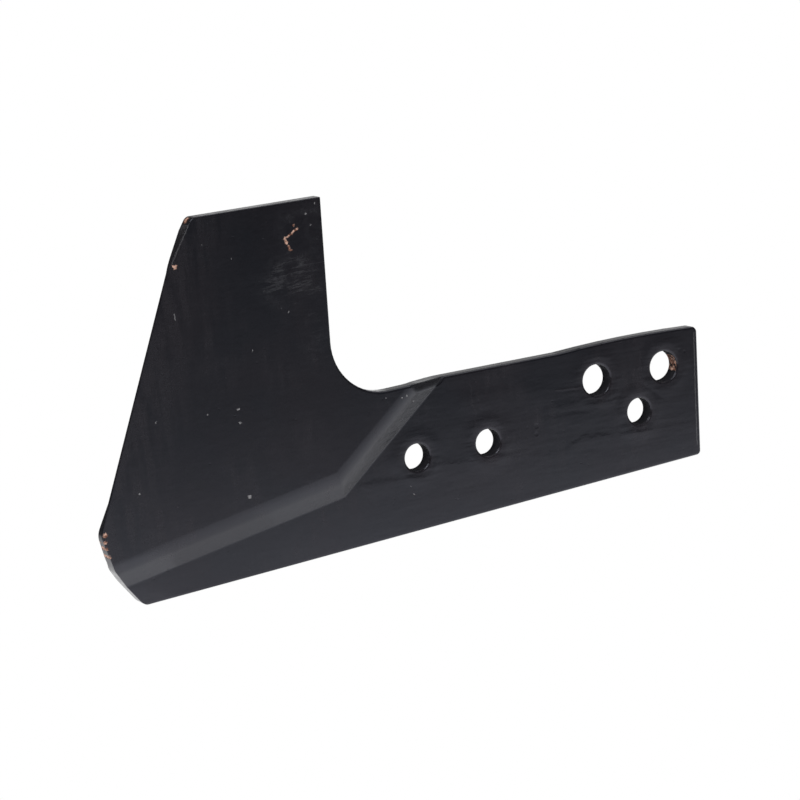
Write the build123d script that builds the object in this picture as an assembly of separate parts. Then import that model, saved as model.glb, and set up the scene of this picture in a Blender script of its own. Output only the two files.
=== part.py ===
"""Plough landside with a raised blade, forged and pressed from one steel plate.

The rear bar is drilled for two large and three small bolts. Ahead of the bolts the
plate is pressed sideways along two creases that meet at a kink, so the blade stands
proud of the bar. Millimetres, +X to the rear along the bolt rows, +Z up, and the
origin between the two large holes on the flat face that seats on the plough frame.
The pressed blade lies towards -Y.
"""
from build123d import *
from math import cos, radians, sin, tan
import os

# plate
plate_thickness = 10.0
press_offset = 10.0
press_angle = 33.0
ridge_radius = 17.0
crease_radius = 1.0

# bolt holes
large_hole_radius = 10.4
large_hole_pitch = 52.5
small_hole_radius = 8.9
small_hole_pitch = 52.5
small_row_drop = 26.75
front_pair_center_x = -138.0
lower_hole_x = 4.5
hole_rim_radius = 1.5

# bar
bar_top_z = 22.5
bar_bottom_z_at_origin = -67.1
bar_bottom_slope_deg = 2.68
rear_end_x = 53.5
rear_end_lean_deg = 3.0
rear_top_corner_radius = 4.0
rear_bottom_corner_radius = 3.0
bar_rear_top_z = 22.9
punch_swell = 1.8
punch_swell_start_x = -54.0
punch_swell_peak_x = 12.0

# blade
blade_top_z = 152.0
blade_heel_x_at_top = -218.9
blade_heel_lean_deg = 1.94
throat_radius = 36.0
throat_floor_z = 21.4
ramp_crown = (-164.0, 23.1)
ramp_crown_end_x = -147.0
leading_edge_x_at_top = -314.2
leading_edge_lean_deg = 22.24
tip_top_x = -306.9
tip_start_z = 124.0
tip_radius = 5.0
tip_blend_radius = 60.0

# taper behind the leading edge, which runs out at the tip and above the ramp
taper_depth = 8.3
taper_width = 38.0
taper_tip_z = 146.0
taper_tip_run = 28.0
taper_foot_from_crease = 23.0
taper_foot_run = 34.0

# nose, from the foot of the leading edge down to the bottom edge
blank_front_x = -430.0
nose_upper = (-389.7, -32.5)
nose_middle = (-382.9, -56.2)
nose_lower = (-362.4, -84.2)
nose_upper_radius = 12.0
nose_middle_radius = 14.0
nose_lower_radius = 8.0

# creases of the press line on the visible face
kink_x = -218.8
kink_z = -42.5
rear_crease_deg = 39.5
front_crease_deg = 190.0

# edge rounding
worn_edge_radius = 1.4
blade_edge_radius = 0.7

REACH = 600.0


def rear_end_x_at(z):
    """Rear end of the bar at height z."""
    return rear_end_x + z * tan(radians(rear_end_lean_deg))


def bottom_z_at(x):
    """Bottom edge of the bar at distance x."""
    return bar_bottom_z_at_origin + x * tan(radians(bar_bottom_slope_deg))


def heel_x_at(z):
    """Rear edge of the blade at height z."""
    return blade_heel_x_at_top + (z - blade_top_z) * tan(radians(blade_heel_lean_deg))


def leading_x_at(z):
    """Leading edge of the blade at height z."""
    return leading_edge_x_at_top + (z - blade_top_z) * tan(radians(leading_edge_lean_deg))


def rounded(face, point, radius):
    """The flat face with the corner nearest to the point rounded."""
    corner = face.vertices().sort_by_distance(Vertex(point[0], point[1], 0))[0]
    return fillet(corner, radius)


def outline():
    """Outline of the blank seen square on, still square at the front."""
    rear_bottom = (rear_end_x_at(-64.5), bottom_z_at(rear_end_x_at(-64.5)))
    rear_top = (rear_end_x_at(bar_rear_top_z), bar_rear_top_z)
    throat = (heel_x_at(throat_floor_z), throat_floor_z)
    swell_start = (punch_swell_start_x, bar_top_z)
    swell_peak = (punch_swell_peak_x, bar_top_z + punch_swell)
    corners = Polyline(
        rear_top,
        rear_bottom,
        (blank_front_x, bottom_z_at(blank_front_x)),
        (blank_front_x, blade_top_z),
        (heel_x_at(blade_top_z), blade_top_z),
        throat,
        ramp_crown,
        (ramp_crown_end_x, bar_top_z),
        swell_start,
    )
    swell = ThreePointArc(swell_start, swell_peak, rear_top)
    face = make_face(corners + swell)
    face = rounded(face, throat, throat_radius)
    face = rounded(face, rear_top, rear_top_corner_radius)
    face = rounded(face, rear_bottom, rear_bottom_corner_radius)
    return face


def sheared_front():
    """What is sheared off the front of the blank, from the blade's tip to the nose."""
    tip_start = (leading_x_at(tip_start_z), tip_start_z)
    tip_top = (tip_top_x, blade_top_z)
    face = make_face(Polyline(
        (tip_top_x + 30, blade_top_z + 30),
        (tip_top_x + 30, blade_top_z),
        tip_top,
        tip_start,
        nose_upper,
        nose_middle,
        nose_lower,
        (nose_lower[0] + 30, bottom_z_at(nose_lower[0] + 30)),
        (nose_lower[0] + 30, -REACH / 4),
        (-REACH, -REACH / 4),
        (-REACH, blade_top_z + 30),
        (tip_top_x + 30, blade_top_z + 30),
    ))
    face = rounded(face, nose_lower, nose_lower_radius)
    face = rounded(face, nose_middle, nose_middle_radius)
    face = rounded(face, nose_upper, nose_upper_radius)
    face = rounded(face, tip_start, tip_blend_radius)
    return rounded(face, tip_top, tip_radius)


def crease_normal(crease_deg, side):
    """Direction from a crease up to the blade, as (x, z)."""
    along = radians(crease_deg)
    return (-side * sin(along), side * cos(along))


def pressed_block(crease_deg, side, surface, shift, lower_radius, upper_radius):
    """Everything behind one surface of the pressed plate, along one crease.

    The section across the crease steps up by the press offset, and is rounded where
    it leaves the bar and where it reaches the blade.
    """
    run = press_offset / tan(radians(press_angle))
    foot = (shift, surface)
    crest = (shift + run, surface + press_offset)
    section = make_face(Polyline(
        (-REACH, surface),
        foot,
        crest,
        (REACH, surface + press_offset),
        (REACH, -REACH / 4),
        (-REACH, -REACH / 4),
        (-REACH, surface),
    ))
    section = rounded(section, foot, lower_radius)
    section = rounded(section, crest, upper_radius)
    x, z = crease_normal(crease_deg, side)
    plane = Plane(origin=(kink_x, 0, kink_z), x_dir=(x, 0, z), z_dir=(z, 0, -x))
    return extrude(plane * section, amount=REACH, both=True)


def pressed_sheet():
    """The whole plate, larger than its outline, pressed along both creases."""
    shift = plate_thickness * tan(radians(press_angle) / 2)
    front = (plate_thickness, 0, crease_radius, ridge_radius)
    back = (0, shift, crease_radius + plate_thickness, ridge_radius - plate_thickness)
    front_rear, front_nose = (
        pressed_block(deg, side, *front) for deg, side in ((rear_crease_deg, 1), (front_crease_deg, -1))
    )
    back_rear, back_nose = (
        pressed_block(deg, side, *back) for deg, side in ((rear_crease_deg, 1), (front_crease_deg, -1))
    )
    return (front_rear & front_nose) - (back_rear & back_nose)


def hollow(x, z, deeper, run):
    """Space behind a slope that leaves the hidden face of the blade at (x, z).

    The slope sinks by the taper's depth over the run, in the direction given.
    """
    clearance = 0.5
    slope = taper_depth / run
    plane = Plane(origin=(x, -press_offset, z), x_dir=(deeper[0], 0, deeper[1]),
                  z_dir=(-deeper[1], 0, deeper[0]))
    section = make_face(Polyline(
        (-clearance / slope, clearance),
        (REACH, -REACH * slope),
        (REACH, clearance),
        (-clearance / slope, clearance),
    ))
    return extrude(plane * section, amount=REACH, both=True)


def edge_taper():
    """What is hammered away behind the leading edge, shallow at the tip and the nose."""
    lean = radians(leading_edge_lean_deg)
    outward = (-cos(lean), sin(lean))
    down = (-sin(lean), -cos(lean))
    across = crease_normal(front_crease_deg, -1)
    width = hollow(leading_x_at(0) - taper_width * outward[0], -taper_width * outward[1], outward, taper_width)
    tip = hollow(leading_x_at(taper_tip_z), taper_tip_z, down, taper_tip_run)
    foot = hollow(
        kink_x + taper_foot_from_crease * across[0],
        kink_z + taper_foot_from_crease * across[1],
        across,
        taper_foot_run,
    )
    return width & tip & foot


def bolt_holes():
    """The five bolt holes, as (x, z, radius)."""
    half_large = large_hole_pitch / 2
    half_small = small_hole_pitch / 2
    return [
        (-half_large, 0, large_hole_radius),
        (half_large, 0, large_hole_radius),
        (front_pair_center_x - half_small, -small_row_drop, small_hole_radius),
        (front_pair_center_x + half_small, -small_row_drop, small_hole_radius),
        (lower_hole_x, -small_row_drop, small_hole_radius),
    ]


def is_rim(edge):
    """True for the full circle at either mouth of a hole."""
    return edge.geom_type == GeomType.CIRCLE and edge.is_closed


def is_blade_edge(edge):
    """True on the blade's top and on its straight rear edge, which are crisper."""
    middle = edge.position_at(0.5)
    on_heel = middle.Z > throat_floor_z + throat_radius and abs(middle.X - heel_x_at(middle.Z)) < 3
    return middle.Z > blade_top_z - 1 or on_heel


def surface_edges(plate):
    """Edges between the two pressed surfaces and the cut faces all round."""
    cut_faces = [face for face in plate.faces() if abs(face.normal_at().Y) < 0.001]
    edges = [edge for face in cut_faces for edge in face.edges()]
    return ShapeList(edge for edge in edges if abs(edge.tangent_at(0.5).Y) < 0.9)


def soften_edges(plate):
    """Worn edges all round, and rolled rims at the holes on the visible side."""
    worn = [edge for edge in surface_edges(plate) if not is_rim(edge) and not is_blade_edge(edge)]
    plate = fillet(worn, worn_edge_radius)
    crisp = [edge for edge in surface_edges(plate) if not is_rim(edge) and is_blade_edge(edge)]
    plate = fillet(crisp, blade_edge_radius)
    rims = [edge for edge in surface_edges(plate) if is_rim(edge) and edge.center().Y < -1]
    return fillet(rims, hole_rim_radius)


def landside():
    """The finished plate."""
    through = plate_thickness + press_offset + 2
    behind = Plane.XZ.offset(-1)
    plate = pressed_sheet() & extrude(behind * outline(), amount=through)
    for x, z, radius in bolt_holes():
        plate -= extrude(behind * Pos(x, z) * Circle(radius), amount=through)
    plate = soften_edges(plate) - extrude(behind * sheared_front(), amount=through)
    return plate - edge_taper()


os.makedirs("parts", exist_ok=True)
export_step(landside(), "parts/landside.step")
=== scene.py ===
"""Looks of a black painted plough landside: paint, wear, light and camera. Metres."""
import math
from types import SimpleNamespace
import bpy
from mathutils import Matrix, Vector


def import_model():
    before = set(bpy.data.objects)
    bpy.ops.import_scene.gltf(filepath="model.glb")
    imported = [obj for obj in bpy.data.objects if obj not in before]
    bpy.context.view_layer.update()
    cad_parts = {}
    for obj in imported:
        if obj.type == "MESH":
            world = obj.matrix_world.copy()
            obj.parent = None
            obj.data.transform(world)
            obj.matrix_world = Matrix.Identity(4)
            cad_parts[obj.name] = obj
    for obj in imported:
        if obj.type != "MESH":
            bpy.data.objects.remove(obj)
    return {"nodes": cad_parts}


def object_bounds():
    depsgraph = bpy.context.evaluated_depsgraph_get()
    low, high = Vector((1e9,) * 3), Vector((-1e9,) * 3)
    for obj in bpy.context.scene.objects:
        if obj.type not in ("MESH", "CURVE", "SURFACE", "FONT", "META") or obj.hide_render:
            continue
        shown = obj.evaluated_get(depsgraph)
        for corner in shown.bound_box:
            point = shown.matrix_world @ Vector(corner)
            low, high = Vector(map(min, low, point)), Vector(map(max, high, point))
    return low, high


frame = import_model()
cad_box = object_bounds()

# camera of the photograph
CAMERA_PLACE = Vector((-1.0122, -1.6985, 0.3896))
CAMERA_VIEW = Vector((0.43687, 0.87784, -0.19631))
CAMERA_UP = Vector((0.17507, 0.13109, 0.97579))
CAMERA_LENS_MM = 135.0
CAMERA_SENSOR_MM = 36.0
CAMERA_NUDGE_LEFT = 0.00101
CAMERA_NUDGE_UP = 0.00058
CAMERA_REACH = 50

# lines of the part in mm, with each hole as x, z and radius
MM_PER_METRE = 1000.0
LEADING_EDGE_LEAN_DEG = 22.24
LEADING_EDGE_INWARD = -348.3
BAR_X = -165
BLADE_X = -225
WALL_TOP_Y = -8.5
HOLES = (
    (-164.25, -26.75, 8.9),
    (-111.75, -26.75, 8.9),
    (-26.25, 0.0, 10.4),
    (4.5, -26.75, 8.9),
    (26.25, 0.0, 10.4),
)

# marks in mm: spots as x, z and radius, and lines as both ends (x, z) and radius
PALE_SPOTS = (
    (-230.4, 142.9, 0.6),
    (-223.5, 148.8, 0.4),
    (-227.8, 135.6, 0.35),
    (-302.4, 133.9, 0.4),
    (-283.5, 122.8, 0.3),
    (-249.0, 83.9, 0.5),
    (-276.1, 63.8, 0.5),
    (-289.8, 29.4, 0.6),
    (-289.5, 20.4, 0.7),
    (-310.9, 29.4, 0.4),
    (-345.6, 30.7, 0.4),
    (-361.4, -11.0, 0.4),
    (-288.9, -27.0, 1.2),
    (-187.6, 18.1, 0.5),
    (-176.3, 16.1, 0.55),
    (-172.6, 16.7, 0.5),
    (-165.9, 11.6, 0.4),
    (-171.2, -44.5, 0.35),
    (-169.6, -50.0, 0.35),
)
PALE_LINES = (
    ((-325.3, 95.0), (-325.0, 91.5), 0.3),
)
WORN_AND_HIGHLIGHT_LINES = (
    ((51.9, 19.0), (49.4, -22.0), 0.3),
    ((49.4, -22.0), (47.6, -58.0), 0.3),
    # painted highlight: a pale line inside the leading edge of the tip, standing in for the
    # glint on its worn arris
    ((-309.6, 147.4), (-323.2, 126.0), 0.25),
)
RUST_SPOTS = (
    (-239.4, 137.0, 0.5),
    (-321.6, 123.8, 1.4),
    (-386.9, -32.2, 1.4),
    (-387.2, -36.5, 1.2),
    (-386.9, -41.0, 1.3),
    (-385.6, -46.5, 1.1),
)
RUST_LINES = (
    ((-237.6, 134.6), (-241.2, 132.6), 0.8),
    ((-241.2, 132.4), (-246.0, 130.2), 0.5),
    ((-246.6, 129.6), (-245.6, 127.0), 0.9),
    ((-244.4, 124.8), (-243.2, 122.2), 0.8),
)
RAISED_LINES = (
    ((-58.5, -1.6), (-38.5, -2.6), 0.8),
    ((-121.8, 18.0), (-119.8, -14.0), 0.5),
    ((-116.6, 16.0), (-115.6, -3.0), 0.3),
)
DIMPLES = (
    (-75.1, -22.2, 1.5),
    (-75.6, -27.5, 1.3),
    (39.5, 9.2, 0.9),
    (43.5, 7.6, 0.8),
    (-362.2, -60.6, 1.0),
    (-358.6, -63.9, 0.9),
)
# notch and blunt corner by the bend: dented in the relief, and near-black as painted shade in
# the fold
NOTCH = ((-164.0, 21.2), (-156.5, 22.4), 1.2)
BLUNT_CORNER = ((-162.0, 24.5), (-147.0, 25.0), 6.5, 4.0)
RUSTY_WALL = (36.5, 0.8, 5.5)
WORN_TIP = (-308.6, -13.5, 150.6)
SOFT_RIM = 0.6
SOFTER_RIM = 1.4
SOFTEST_RIM = 1.6

# low shelves of forged steel in mm: both ends (x, z), the rise and the fall
SHELVES = (
    ((-206.0, -36.2), (-163.6, -38.5), 3.4, 10.0),
    ((-152.0, -33.5), (-97.0, -37.2), 4.2, 12.0),
    ((-187.0, -22.5), (-173.0, -22.0), 5.0, 10.0),
    ((-64.0, -10.2), (-33.5, -12.1), 4.5, 8.0),
    ((-33.0, -14.4), (-6.3, -15.0), 3.4, 7.0),
    ((-66.0, -18.3), (-26.0, -20.0), 3.8, 9.0),
    ((-55.0, -40.0), (-39.5, -35.6), 3.4, 8.0),
    ((-39.5, -35.6), (-20.0, -38.2), 3.6, 9.0),
    ((-12.0, -38.2), (12.5, -40.6), 3.0, 9.0),
    ((-130.0, 9.0), (-60.0, 6.0), 9.0, 14.0),
)
SHELF_ENDS = 7.0

# scuffed ovals: stretch, and centre once stretched, both along x, y and z
RUBBED = ((1, 0, 1.4), (-246, 0, 146))
RUBBED_BELOW = ((1, 0, 0.5), (-232, 0, 34))
HAZY_CORNER = (-231, 0, 137)
SCUFF_SLOPE = 0.07
PATCHY_REACH = 26
NOISE_MIDDLE = 0.5

# noises: wavelength in mm, detail, roughness, stretch along x, y and z, and seed
EVEN = (1, 1, 1)
JITTER_NOISE = (1.6, 3, 0.65)
SLOW_JITTER_NOISE = (9.0, 3, 0.6)
STREAK_NOISE = (7.0, 4, 0.6, (0.8, 1, 5), 3.1)
CLOUD_NOISE = (46.0, 3, 0.55, EVEN, 9.4)
PATCHY_NOISE = (16.0, 3, 0.6, EVEN, 4.9)
SCUFF_NOISE = (6.0, 4, 0.6, (4.2, 1, 0.55), 6.6)
BROKEN_NOISE = (7.0, 3, 0.6, EVEN, 2.2)
HAZE_NOISE = (9.0, 4, 0.65, EVEN, 5.0)
SPECK_NOISE = (2.1, 1, 0.5, EVEN, 1.3)
SPECK_FIELD_NOISE = (60.0, 1, 0.5, EVEN, 7.7)
HOLE_RUST_NOISE = (2.2, 3, 0.6)
TINT_NOISE = (60.0, 2, 0.5, EVEN, 4.4)
RUST_NOISE = (2.6, 3, 0.6, EVEN, 8.1)
GLOSS_NOISE = (3.0, 4, 0.7, EVEN, 0.4)
BAR_WAVE_NOISE = (12.0, 3, 0.55, (5.5, 1, 1), 5.9)
BLADE_WAVE_NOISE = (12.0, 3, 0.55, (1, 1, 4.5), 1.9)
RIPPLE_NOISE = (5.0, 3, 0.6, (2.6, 1, 1), 2.9)
GRAIN_NOISE = (2.4, 4, 0.65, EVEN, 3.7)
PIT_NOISE = (3.2, 2, 0.5, EVEN, 6.2)

# how far the jitter moves a mark, in mm
RAGGED_REACH = (3.4, 0, 3.4)
RAGGED_LITTLE_REACH = (1.4, 0, 1.4)
WAVY_REACH = (8, 0, 5)

# steps: where a mask starts and where it is full, and at times its value at each end
FRONT_STEP = (-0.45, -0.8)
NOT_HIDDEN_STEP = (0.6, 0.2)
SIDE_ON_STEP = (0.55, 0.2)
LEADING_EDGE_STEP = (52, 4)
CLOUD_STEP = (0.42, 0.68)
STREAK_STEP = (0.30, 0.75)
EDGE_STREAK_STEP = (0.32, 0.62)
RUBBED_STEP = (42, 20, 0, 0.9)
RUBBED_BELOW_STEP = (18, 3, 0, 0.22)
HAZY_CORNER_STEP = (27, 10, 0, 0.8)
THREAD_STEP = (0.06, 0.0)
BROKEN_STEP = (0.30, 0.62)
HAZE_STEP = (0.42, 0.7)
SPECK_STEP = (0.80, 0.84)
SPECK_FIELD_STEP = (0.45, 0.6)
WORN_TIP_STEP = (3.2, 1.6)
HOLE_RUST_STEP = (0.42, 0.55)
TINT_STEP = (0.35, 0.65)
RUST_STEP = (0.4, 0.6)
GLOSS_STEP = (0.3, 0.7, -0.03, 0.05)
PIT_STEP = (0.30, 0.22)
NEAR_HOLE_WAVES_STEP = (0, 1, 0.9, 2.4)

# rings outside each hole, from where a mask starts to where it is full, in mm
WALL_RING = (0.9, 0.4)
NEAR_HOLE_RING = (16, 1)
DISH_RING = (6.5, 0)

# paint colours, and how much of each shows
PAINT_COOL = (0.0042, 0.0046, 0.0066, 1)
PAINT_WARM = (0.0062, 0.0052, 0.0070, 1)
FILM = (0.030, 0.025, 0.028, 1)
FILM_PALE = (0.045, 0.046, 0.050, 1)
SCUFF = (0.085, 0.085, 0.09, 1)
PALE = (0.26, 0.255, 0.26, 1)
# painted shade: near-black, darker than the paint, laid in the hole walls and in the notch and
# blunt corner by the bend
SHADE_BLACK = (0.002, 0.0015, 0.0015, 1)
RUST = (0.16, 0.055, 0.025, 1)
RUST_PINK = (0.75, 0.47, 0.36, 1)
FILM_SHARE = 0.28
HAZE_SHARE = 0.3
SCUFF_SHARE = 0.34
SPECK_SHARE = 0.5
RIM_FILM_SHARE = 0.22
WORN_AND_HIGHLIGHT_SHARE = 0.3

# gloss of the paint, and what dulls it
ROUGHNESS = 0.18
FILM_DULLS = 0.10
HAZE_DULLS = 0.10
BARE_DULLS = 0.5
SCUFF_BARE = 0.5
WALL_DULLS = 0.7
SHEEN = (0.803, 0.826, 0.962)
PAINT_IOR = 1.55

# relief heights and depths in mm, with the rounding of worn edges in metres
BUMP_UNIT = 0.001
WAVE_HEIGHT = 0.22
BLADE_WAVE_SHARE = 0.30
GRAIN_HEIGHT = 0.028
PIT_DEPTH = 0.05
CHIP_DEPTH = 0.05
DISH_DEPTH = 0.16
SHELF_HEIGHT = 0.09
NOTCH_DEPTH = 0.5
BLUNT_DEPTH = 1.0
WALL_FLARE = 0.45
RIPPLE_HEIGHT = 0.06
RAISED_HEIGHT = 0.04
DIMPLE_DEPTH = 0.08
WORN_ARRIS = 0.0013
WORN_ARRIS_SAMPLES = 6

# studio floor, backdrop and room
WHITE = (1, 1, 1, 1)
FLOOR_DROP = 0.5
FLOOR_SIZE = 14.0
FLOOR_MATT = (0.8, 0.8, 0.8, 1)
SHADOW_REACH = (0.35, 0.7)
SHADOW_WHITE = 0.6
ROOM_TINT = (0.98, 0.98, 1.0, 1)
ROOM_FRONT = 0.125
ROOM_BACK = 0.07
ROOM_TURN = (-0.4, 0.4)
BACKDROP_EDGE = (0.955, 1.0)
BACKDROP_TOP = (0.02, 0.26, 1.0, 0.2)

# glow of a lit table under and in front of the part: the x places that bound its zones,
# and strips as near y, far y, radiance and the share of it that each zone has
TABLE_Z = -0.100
TABLE_LEVEL = 0.95
TABLE_ZONES = (-0.70, -0.32, -0.24, -0.10, 0.06, 1.00)
TABLE_STRIPS = (
    (0.30, 0.10, 0.54, None),
    (0.10, -0.05, 0.66, (1.30, 0.90, 1.04, 1.04, 1.04)),
    (-0.05, -0.12, 0.75, (1.30, 0.90, 1.04, 1.04, 1.04)),
    (-0.12, -0.22, 0.64, (1.04, 1.00, 1.00, 0.96, 0.92)),
    (-0.22, -0.34, 0.455, (1.00, 1.00, 1.00, 0.92, 0.84)),
    (-0.34, -0.50, 0.315, (1.00, 1.00, 1.00, 0.84, 0.68)),
    (-0.50, -0.75, 0.245, (1.00, 1.00, 1.00, 0.81, 0.62)),
    (-0.75, -1.10, 0.195, None),
    (-1.10, -1.60, 0.14, None),
    (-1.60, -2.40, 0.09, None),
)

# lamps: name, place, target, size and power
LAMPS = (
    ("overhead", (0.9, 0.1, 2.0), (0.0, 0.0, 0), 2.0, 16),
    ("ahead", (-1.05, -1.05, 1.85), (-0.1, 0.0, 0), 1.4, 36),
)


class Graph:
    """Adds shader nodes, where an input is either a number or another node's socket."""

    def __init__(self, tree):
        self.nodes = tree.nodes
        self.links = tree.links

    def feed(self, value, socket):
        """Link a socket, or set a plain value."""
        if isinstance(value, bpy.types.NodeSocket):
            self.links.new(value, socket)
        else:
            socket.default_value = value

    def maths(self, operation, first, second=0.0):
        """One Math node."""
        node = self.nodes.new("ShaderNodeMath")
        node.operation = operation
        self.feed(first, node.inputs[0])
        self.feed(second, node.inputs[1])
        return node.outputs[0]

    def plus(self, *terms):
        """Sum of all terms."""
        total = terms[0]
        for term in terms[1:]:
            total = self.maths("ADD", total, term)
        return total

    def times(self, *factors):
        """Product of all factors."""
        total = factors[0]
        for factor in factors[1:]:
            total = self.maths("MULTIPLY", total, factor)
        return total

    def highest(self, *masks):
        """The highest of several masks."""
        total = masks[0]
        for mask in masks[1:]:
            total = self.maths("MAXIMUM", total, mask)
        return total

    def vectors(self, operation, first, second=(0, 0, 0), scale=None):
        """One Vector Math node: its value for a length or a product, or else its vector."""
        node = self.nodes.new("ShaderNodeVectorMath")
        node.operation = operation
        self.feed(first, node.inputs[0])
        if scale is not None:
            self.feed(scale, node.inputs["Scale"])
        else:
            self.feed(second, node.inputs[1])
        is_number = operation in ("DISTANCE", "DOT_PRODUCT", "LENGTH")
        return node.outputs["Value" if is_number else "Vector"]

    def parts(self, vector):
        """The x, y and z of a vector."""
        node = self.nodes.new("ShaderNodeSeparateXYZ")
        self.links.new(vector, node.inputs[0])
        return node.outputs

    def smooth(self, value, start, end, low=0.0, high=1.0):
        """Smooth step from low at start to high at end."""
        node = self.nodes.new("ShaderNodeMapRange")
        node.interpolation_type = "SMOOTHSTEP"
        self.feed(value, node.inputs["Value"])
        names = ("From Min", "From Max", "To Min", "To Max")
        for name, number in zip(names, (start, end, low, high)):
            node.inputs[name].default_value = number
        return node.outputs[0]

    def noise(self, where, wavelength, detail, roughness, stretch=EVEN, seed=0.0, output=0):
        """Noise of about this wavelength in mm, drawn out by the stretch along x, y and z."""
        frequency = tuple(1 / (wavelength * factor) for factor in stretch)
        scaled = self.vectors("MULTIPLY", where, frequency)
        place = self.vectors("ADD", scaled, (seed, seed * 0.7, -seed))
        node = self.nodes.new("ShaderNodeTexNoise")
        node.inputs["Scale"].default_value = 1.0
        node.inputs["Detail"].default_value = detail
        node.inputs["Roughness"].default_value = roughness
        self.links.new(place, node.inputs["Vector"])
        return node.outputs[output]

    def patches(self, where, noise, step):
        """Mask of the places where a noise passes a step."""
        return self.smooth(self.noise(where, *noise), *step)

    def jitter(self, where, noise):
        """Random offset about zero, up to half along each axis."""
        colour = self.noise(where, *noise, output=1)
        return self.vectors("SUBTRACT", colour, (NOISE_MIDDLE, NOISE_MIDDLE, NOISE_MIDDLE))

    def moved(self, flat, jitter, reach):
        """The place moved by a jitter as far as the reach along x, y and z."""
        return self.vectors("ADD", flat, self.vectors("MULTIPLY", jitter, reach))

    def spot(self, where, x, z, radius, soft=SOFT_RIM):
        """Round mask about (x, z) in mm, with a soft rim."""
        away = self.vectors("DISTANCE", where, (x, 0, z))
        return self.smooth(away, radius + soft / 2, radius - soft / 2)

    def stroke(self, where, start, end, radius, soft=SOFT_RIM):
        """Mask along the straight line from start to end, as (x, z) in mm."""
        along = (end[0] - start[0], 0, end[1] - start[1])
        length = math.hypot(along[0], along[2])
        unit = tuple(part / length for part in along)
        from_start = self.vectors("SUBTRACT", where, (start[0], 0, start[1]))
        reach = self.vectors("DOT_PRODUCT", from_start, unit)
        reach = self.maths("MINIMUM", self.maths("MAXIMUM", reach, 0.0), length)
        nearest = self.vectors("SCALE", unit, scale=reach)
        away = self.vectors("DISTANCE", from_start, nearest)
        return self.smooth(away, radius + soft / 2, radius - soft / 2)

    def shelf(self, where, start, end, rise, fall):
        """A low shelf along a line: it rises within a short way and falls off slowly below."""
        length = math.dist(start, end)
        along = ((end[0] - start[0]) / length, 0, (end[1] - start[1]) / length)
        down = (along[2], 0, -along[0])
        offset = self.vectors("SUBTRACT", where, (start[0], 0, start[1]))
        far = self.vectors("DOT_PRODUCT", offset, along)
        deep = self.vectors("DOT_PRODUCT", offset, down)
        return self.times(
            self.smooth(deep, -rise / 2, rise / 2),
            self.smooth(deep, rise / 2 + fall, rise / 2),
            self.smooth(far, -SHELF_ENDS, SHELF_ENDS),
            self.smooth(far, length + SHELF_ENDS, length - SHELF_ENDS),
        )

    def blend(self, factor, first, second):
        """Colour mix."""
        node = self.nodes.new("ShaderNodeMix")
        node.data_type = "RGBA"
        self.feed(factor, node.inputs["Factor"])
        self.feed(first, node.inputs["A"])
        self.feed(second, node.inputs["B"])
        return node.outputs["Result"]


def part_places(g):
    """Place on the part in mm, also flat and moved about, and which way the surface faces."""
    texture = g.nodes.new("ShaderNodeTexCoord")
    m = SimpleNamespace()
    m.where = g.vectors("SCALE", texture.outputs["Object"], scale=MM_PER_METRE)
    m.flat = g.vectors("MULTIPLY", m.where, (1, 0, 1))
    jitter = g.jitter(m.where, JITTER_NOISE)
    m.ragged = g.moved(m.flat, jitter, RAGGED_REACH)
    m.ragged_little = g.moved(m.flat, jitter, RAGGED_LITTLE_REACH)
    m.wavy = g.moved(m.flat, g.jitter(m.where, SLOW_JITTER_NOISE), WAVY_REACH)
    m.x, m.y = g.parts(m.where)[:2]
    m.facing_y = g.parts(texture.outputs["Normal"])[1]
    m.front = g.smooth(m.facing_y, *FRONT_STEP)
    return m


def hole_masks(g, m):
    """The walls of the holes, the dished rims, and the steel near them."""
    from_holes = [(g.vectors("DISTANCE", m.flat, (x, 0, z)), radius) for x, z, radius in HOLES]

    def ring(start, full):
        """Mask round every hole, given outwards from its edge."""
        return g.highest(
            *[g.smooth(away, radius + start, radius + full) for away, radius in from_holes])

    side_on = g.smooth(g.maths("ABSOLUTE", m.facing_y), *SIDE_ON_STEP)
    m.wall = g.times(ring(*WALL_RING), side_on)
    m.near_hole = ring(*NEAR_HOLE_RING)
    m.dish = ring(*DISH_RING)


def film_mask(g, m):
    """Dull brown film in streaks, thickest along the leading edge."""
    slant = math.radians(LEADING_EDGE_LEAN_DEG)
    inward = g.vectors("DOT_PRODUCT", m.flat, (math.cos(slant), 0, -math.sin(slant)))
    inward = g.maths("SUBTRACT", inward, LEADING_EDGE_INWARD)
    streaks = g.noise(m.where, *STREAK_NOISE)
    film = g.times(
        g.patches(m.where, CLOUD_NOISE, CLOUD_STEP),
        g.smooth(streaks, *STREAK_STEP),
    )
    edge_film = g.times(
        g.smooth(inward, *LEADING_EDGE_STEP),
        g.smooth(streaks, *EDGE_STREAK_STEP),
    )
    m.film = g.highest(film, edge_film)


def scuff_masks(g, m):
    """Scuffs in waves on the upper rear of the blade, fainter ones below, and haze."""
    rubbed, below = (
        g.vectors("DISTANCE", g.vectors("MULTIPLY", m.flat, stretch), centre)
        for stretch, centre in (RUBBED, RUBBED_BELOW)
    )
    rubbed = g.plus(rubbed, g.times(g.noise(m.where, *PATCHY_NOISE), PATCHY_REACH))
    upper = g.highest(g.smooth(rubbed, *RUBBED_STEP), g.smooth(below, *RUBBED_BELOW_STEP))
    slope = g.vectors("SCALE", (0, 0, -SCUFF_SLOPE), scale=m.x)
    waves = g.noise(g.vectors("ADD", m.where, slope), *SCUFF_NOISE)
    from_middle = g.maths("ABSOLUTE", g.maths("SUBTRACT", waves, NOISE_MIDDLE))
    threads = g.smooth(from_middle, *THREAD_STEP)
    m.scuffs = g.times(threads, g.patches(m.where, BROKEN_NOISE, BROKEN_STEP), upper)
    from_corner = g.vectors("DISTANCE", m.flat, HAZY_CORNER)
    hazy = g.highest(upper, g.smooth(from_corner, *HAZY_CORNER_STEP))
    m.haze = g.times(g.patches(m.where, HAZE_NOISE, HAZE_STEP), hazy, m.front)


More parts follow.
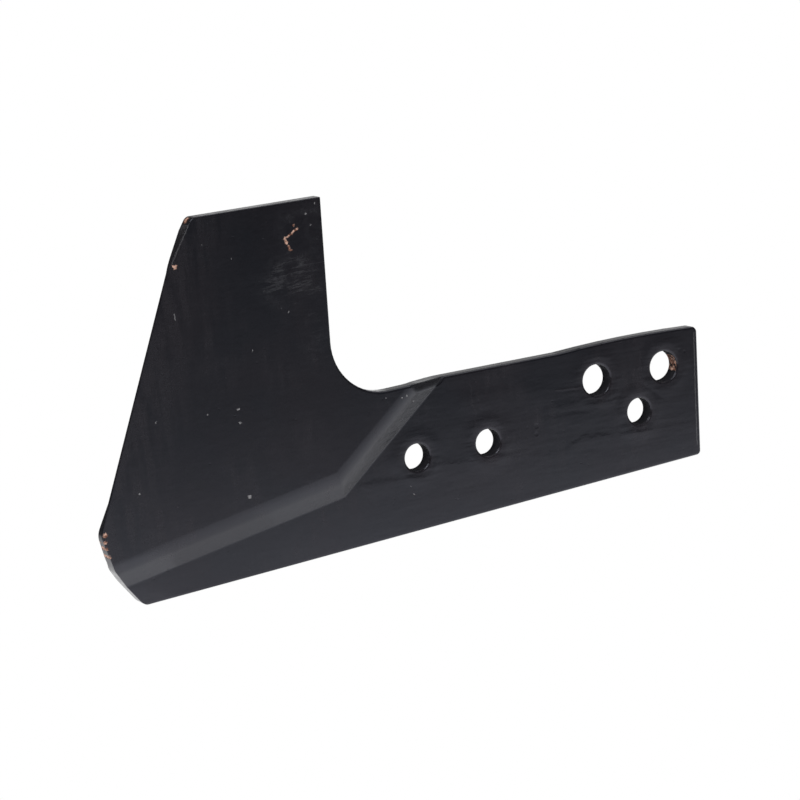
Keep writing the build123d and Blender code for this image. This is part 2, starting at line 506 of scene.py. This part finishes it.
def chip_masks(g, m):
    """Pale chips and specks, worn edge lines with a painted highlight line, and rust."""
    pale, rusty = (
        g.highest(*[g.spot(m.ragged, *spot) for spot in spots],
                  *[g.stroke(m.ragged, *line) for line in lines])
        for spots, lines in ((PALE_SPOTS, PALE_LINES), (RUST_SPOTS, RUST_LINES))
    )
    m.pale = g.times(pale, m.front)
    m.rusty = g.times(rusty, g.smooth(m.facing_y, *NOT_HIDDEN_STEP))
    m.specks = g.times(
        g.patches(m.where, SPECK_NOISE, SPECK_STEP),
        g.patches(m.where, SPECK_FIELD_NOISE, SPECK_FIELD_STEP),
    )
    m.worn = g.highest(*[g.stroke(m.ragged_little, *line) for line in WORN_AND_HIGHLIGHT_LINES])
    m.tip = g.smooth(g.vectors("DISTANCE", m.where, WORN_TIP), *WORN_TIP_STEP)
    m.hole_rust = g.times(
        m.wall,
        g.spot(m.flat, *RUSTY_WALL),
        g.patches(m.where, HOLE_RUST_NOISE, HOLE_RUST_STEP),
    )


def forging_masks(g, m):
    """Shelves, raised lines and dimples of the forged face, and its dented notch and blunt
    corner, with painted shade in them.
    """
    m.shelves = g.plus(*[g.shelf(m.wavy, *shelf) for shelf in SHELVES])
    m.raised = g.highest(*[g.stroke(m.wavy, *line, SOFTEST_RIM) for line in RAISED_LINES])
    m.dimples = g.highest(*[g.spot(m.ragged_little, *spot, SOFTER_RIM) for spot in DIMPLES])
    m.notch = g.stroke(m.ragged_little, *NOTCH)
    m.blunt = g.stroke(m.flat, *BLUNT_CORNER)
    # painted shade: the notch and the blunt corner get the near-black colour
    m.bruise = g.times(g.highest(m.notch, m.blunt), m.front)


def paint_colour(g, m):
    """Two tones of black under film, haze and scuffs, with the chips and rust on top, painted
    shade in the hole walls and dents, and a painted highlight line.
    """
    tint = g.patches(m.where, TINT_NOISE, TINT_STEP)
    colour = g.blend(tint, PAINT_COOL, PAINT_WARM)
    rust = g.blend(g.patches(m.where, RUST_NOISE, RUST_STEP), RUST, RUST_PINK)
    layers = (
        (g.times(m.film, FILM_SHARE), FILM),
        (g.times(m.haze, HAZE_SHARE), FILM_PALE),
        (g.times(m.scuffs, SCUFF_SHARE, m.front), SCUFF),
        (g.times(m.specks, SPECK_SHARE), SCUFF),
        (g.times(g.highest(m.dish, m.raised), m.front, RIM_FILM_SHARE), FILM),
        # painted shade: near-black colour in the hole walls and in the notch and blunt corner
        (g.highest(m.wall, m.bruise), SHADE_BLACK),
        # pale chips and worn edge lines, with a painted highlight line along the leading edge
        (g.highest(m.pale, g.times(m.worn, WORN_AND_HIGHLIGHT_SHARE)), PALE),
        (g.highest(m.rusty, m.hole_rust, m.tip), rust),
    )
    for share, layer in layers:
        colour = g.blend(share, colour, layer)
    return colour


def paint_gloss(g, m):
    """Roughness of the paint, higher where it is dull, chipped or gone."""
    bare = g.highest(m.pale, m.rusty, g.times(m.scuffs, SCUFF_BARE))
    return g.plus(
        ROUGHNESS,
        g.times(m.film, FILM_DULLS),
        g.times(m.haze, HAZE_DULLS),
        g.times(bare, BARE_DULLS),
        g.times(g.highest(m.wall, m.bruise), WALL_DULLS),
        g.patches(m.where, GLOSS_NOISE, GLOSS_STEP),
    )


def paint_relief(g, m):
    """Height in mm: long forging waves, dips round the holes, marks, grain and pits."""
    waves = g.plus(
        g.times(
            g.noise(m.where, *BAR_WAVE_NOISE),
            g.smooth(m.x, BLADE_X, BAR_X),
            g.smooth(m.near_hole, *NEAR_HOLE_WAVES_STEP),
        ),
        g.times(
            g.noise(m.where, *BLADE_WAVE_NOISE),
            g.smooth(m.x, BAR_X, BLADE_X),
            BLADE_WAVE_SHARE,
        ),
    )
    return g.plus(
        g.times(waves, WAVE_HEIGHT),
        g.times(g.noise(m.where, *GRAIN_NOISE), GRAIN_HEIGHT),
        g.times(g.patches(m.where, PIT_NOISE, PIT_STEP), -PIT_DEPTH),
        g.times(m.dish, m.front, -DISH_DEPTH),
        g.times(m.shelves, m.front, SHELF_HEIGHT),
        g.times(m.notch, m.front, -NOTCH_DEPTH),
        g.times(m.blunt, m.front, -BLUNT_DEPTH),
        g.times(m.wall, g.maths("SUBTRACT", m.y, WALL_TOP_Y), WALL_FLARE),
        g.times(g.noise(m.where, *RIPPLE_NOISE), RIPPLE_HEIGHT),
        g.times(m.raised, m.front, RAISED_HEIGHT),
        g.times(m.dimples, m.front, -DIMPLE_DEPTH),
        g.times(g.highest(m.pale, m.rusty), -CHIP_DEPTH),
    )


def black_paint():
    """Satin black paint over forged steel: dull film, scuffs, chips, rust and shallow dips,
    with painted shade in the hole walls and dents and a painted highlight line.
    """
    material = bpy.data.materials.new("black_paint")
    material.use_nodes = True
    shader = material.node_tree.nodes["Principled BSDF"]
    g = Graph(material.node_tree)
    m = part_places(g)
    for add_masks in (hole_masks, film_mask, scuff_masks, chip_masks, forging_masks):
        add_masks(g, m)

    bump = g.nodes.new("ShaderNodeBump")
    bump.inputs["Distance"].default_value = BUMP_UNIT
    bump.inputs["Strength"].default_value = 1.0
    arris = g.nodes.new("ShaderNodeBevel")
    arris.samples = WORN_ARRIS_SAMPLES
    arris.inputs["Radius"].default_value = WORN_ARRIS
    g.links.new(arris.outputs[0], bump.inputs["Normal"])
    g.links.new(paint_relief(g, m), bump.inputs["Height"])

    g.links.new(paint_colour(g, m), shader.inputs["Base Color"])
    g.links.new(paint_gloss(g, m), shader.inputs["Roughness"])
    g.links.new(bump.outputs[0], shader.inputs["Normal"])
    shader.inputs["Specular Tint"].default_value = (*SHEEN, 1)
    shader.inputs["IOR"].default_value = PAINT_IOR
    return material


def backdrop_share(g, direction):
    """1 towards the white backdrop behind the part, 0 towards the dimmer rest of the room."""
    level = g.vectors("NORMALIZE", g.vectors("MULTIPLY", direction, (1, 1, 0)))
    length = math.hypot(CAMERA_VIEW[0], CAMERA_VIEW[1])
    ahead = (CAMERA_VIEW[0] / length, CAMERA_VIEW[1] / length, 0)
    towards = g.vectors("DOT_PRODUCT", level, ahead)
    height = g.vectors("DOT_PRODUCT", g.vectors("NORMALIZE", direction), (0, 0, 1))
    return g.times(g.smooth(towards, *BACKDROP_EDGE), g.smooth(height, *BACKDROP_TOP))


def seen_white(g, direction):
    """Share of plain white: all of it for the camera, the backdrop's for gloss and glass."""
    path = g.nodes.new("ShaderNodeLightPath")
    mirrored = g.highest(path.outputs["Is Glossy Ray"], path.outputs["Is Transmission Ray"])
    reflected = g.times(mirrored, backdrop_share(g, direction))
    return g.highest(path.outputs["Is Camera Ray"], reflected)


def mix_into(g, share, first, second, output):
    """Mix two shaders by the share of the second, into the output."""
    mix = g.nodes.new("ShaderNodeMixShader")
    for source, socket in zip((share, first.outputs[0], second.outputs[0]), mix.inputs):
        g.links.new(source, socket)
    g.links.new(mix.outputs[0], g.nodes.new(output).inputs[0])


def floor():
    """The studio floor, below the hanging part: white, with the part's shadow under it."""
    low = cad_box[0][2] - FLOOR_DROP
    half = FLOOR_SIZE / 2
    corners = [(-half, -half, low), (half, -half, low), (half, half, low), (-half, half, low)]
    mesh = bpy.data.meshes.new("floor")
    mesh.from_pydata(corners, [], [(0, 1, 2, 3)])
    plane = bpy.data.objects.new("floor", mesh)
    bpy.context.scene.collection.objects.link(plane)
    material = bpy.data.materials.new("floor")
    material.use_nodes = True
    g = Graph(material.node_tree)
    g.nodes.clear()
    matt = g.nodes.new("ShaderNodeBsdfDiffuse")
    matt.inputs["Color"].default_value = FLOOR_MATT
    glow = g.nodes.new("ShaderNodeEmission")
    place = g.nodes.new("ShaderNodeTexCoord").outputs["Object"]
    from_part = g.vectors("LENGTH", g.vectors("MULTIPLY", place, (1, 1, 0)))
    outside_shadow = g.smooth(from_part, *SHADOW_REACH, SHADOW_WHITE, 1.0)
    share = g.times(seen_white(g, place), outside_shadow)
    mix_into(g, share, matt, glow, "ShaderNodeOutputMaterial")
    mesh.materials.append(material)


def world():
    """Dim room light, and plain white where the camera looks past the part."""
    sky = bpy.data.worlds.new("studio")
    bpy.context.scene.world = sky
    sky.use_nodes = True
    g = Graph(sky.node_tree)
    g.nodes.clear()
    direction = g.nodes.new("ShaderNodeTexCoord").outputs["Generated"]
    strength = g.smooth(g.parts(direction)[1], *ROOM_TURN, ROOM_FRONT, ROOM_BACK)
    room = g.nodes.new("ShaderNodeBackground")
    room.inputs["Color"].default_value = ROOM_TINT
    g.links.new(strength, room.inputs["Strength"])
    seen = g.nodes.new("ShaderNodeBackground")
    seen.inputs["Color"].default_value = WHITE
    mix_into(g, seen_white(g, direction), room, seen, "ShaderNodeOutputWorld")


def lamp(name, place, target, size, power):
    """A square soft lamp aimed at a point."""
    data = bpy.data.lights.new(name, "AREA")
    data.size = size
    data.energy = power
    light = bpy.data.objects.new(name, data)
    light.location = place
    aim = Vector(target) - Vector(place)
    light.rotation_euler = aim.to_track_quat("-Z", "Y").to_euler()
    bpy.context.scene.collection.objects.link(light)


def table_lamp(name, left, right, near, far, radiance):
    """One strip of light that faces up, between two x and two y places."""
    data = bpy.data.lights.new(name, "AREA")
    data.shape = "RECTANGLE"
    data.size = right - left
    data.size_y = near - far
    data.energy = TABLE_LEVEL * radiance * math.pi * data.size * data.size_y
    light = bpy.data.objects.new(name, data)
    light.location = ((left + right) / 2, (near + far) / 2, TABLE_Z)
    light.rotation_euler = (math.pi, 0, 0)
    light.visible_camera = False
    bpy.context.scene.collection.objects.link(light)


def table_light():
    """Light from under and in front of the part, in strips that get fainter away from it."""
    for number, (near, far, radiance, shares) in enumerate(TABLE_STRIPS):
        if shares is None:
            ends = TABLE_ZONES[0], TABLE_ZONES[-1]
            table_lamp(f"table_{number}", *ends, near, far, radiance)
            continue
        for zone, share in enumerate(shares):
            ends = TABLE_ZONES[zone:zone + 2]
            table_lamp(f"table_{number}_{zone}", *ends, near, far, radiance * share)


def camera():
    """The photograph's view: from ahead of the part, a little above it, and rolled."""
    data = bpy.data.cameras.new("camera")
    data.lens = CAMERA_LENS_MM
    data.sensor_width = CAMERA_SENSOR_MM
    data.clip_end = CAMERA_REACH
    right = CAMERA_VIEW.cross(CAMERA_UP).normalized()
    up = right.cross(CAMERA_VIEW).normalized()
    turn = Matrix((right, up, -CAMERA_VIEW.normalized())).transposed()
    nudge = up * CAMERA_NUDGE_UP - right * CAMERA_NUDGE_LEFT
    place = bpy.data.objects.new("camera", data)
    place.matrix_world = Matrix.Translation(CAMERA_PLACE + nudge) @ turn.to_4x4()
    bpy.context.scene.collection.objects.link(place)
    bpy.context.scene.camera = place


paint = black_paint()
for slot in frame["nodes"]["landside"].material_slots:
    slot.material = paint
floor()
world()
table_light()
for settings in LAMPS:
    lamp(*settings)
camera()

bpy.context.scene.view_settings.view_transform = "Standard"
